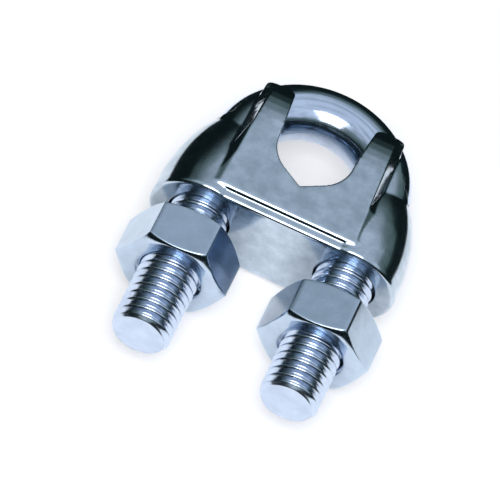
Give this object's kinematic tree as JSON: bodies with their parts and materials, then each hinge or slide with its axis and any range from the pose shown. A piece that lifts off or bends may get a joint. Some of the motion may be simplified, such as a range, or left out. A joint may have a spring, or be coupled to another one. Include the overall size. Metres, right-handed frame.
{
  "type": "wire rope clip",
  "caption": "Wire rope clip: a forged saddle with a V-notched rope seat, held on a threaded U-bolt by hexagon nuts; the nuts screw along the legs.",
  "frame": {"origin": "middle of the rope seat's axis, half way between the front and back plates", "axes": "+Z along the rope seat's axis, out of the front plate; +Y along the legs towards the bow; +X to the right leg"},
  "size_m": [0.0349, 0.046, 0.014],
  "materials": {
    "u_bolt_steel": "bright polished stainless steel",
    "saddle_steel": "polished casting with a slightly cloudy front face",
    "nut_steel": "satin flats with bright chamfers"
  },
  "bodies": {
    "u_bolt": {"u_bolt": "u_bolt_steel"},
    "saddle": {"saddle": "saddle_steel"},
    "nut_left": {"nut_left": "nut_steel"},
    "nut_right": {"nut_right": "nut_steel"}
  },
  "joints": [
    {"name": "saddle_slide", "type": "slide", "parent": "u_bolt", "child": "saddle", "axis": [0, -1, 0], "range_m": [0, 0.007]},
    {"name": "nut_left_turn", "type": "hinge", "parent": "saddle", "child": "nut_left", "pos_m": [-0.01, -0.0187, 0], "axis": [0, -1, 0], "range_deg": [0, 2016]},
    {"name": "nut_right_turn", "type": "hinge", "parent": "saddle", "child": "nut_right", "pos_m": [0.01, -0.0203, 0], "axis": [0, -1, 0], "range_deg": [0, 2016]}
  ],
  "couplings": [
    {"joint": "nut_left_turn", "follows": "saddle_slide", "rad_per_m": 5026.5},
    {"joint": "nut_right_turn", "follows": "saddle_slide", "rad_per_m": 5026.5}
  ]
}
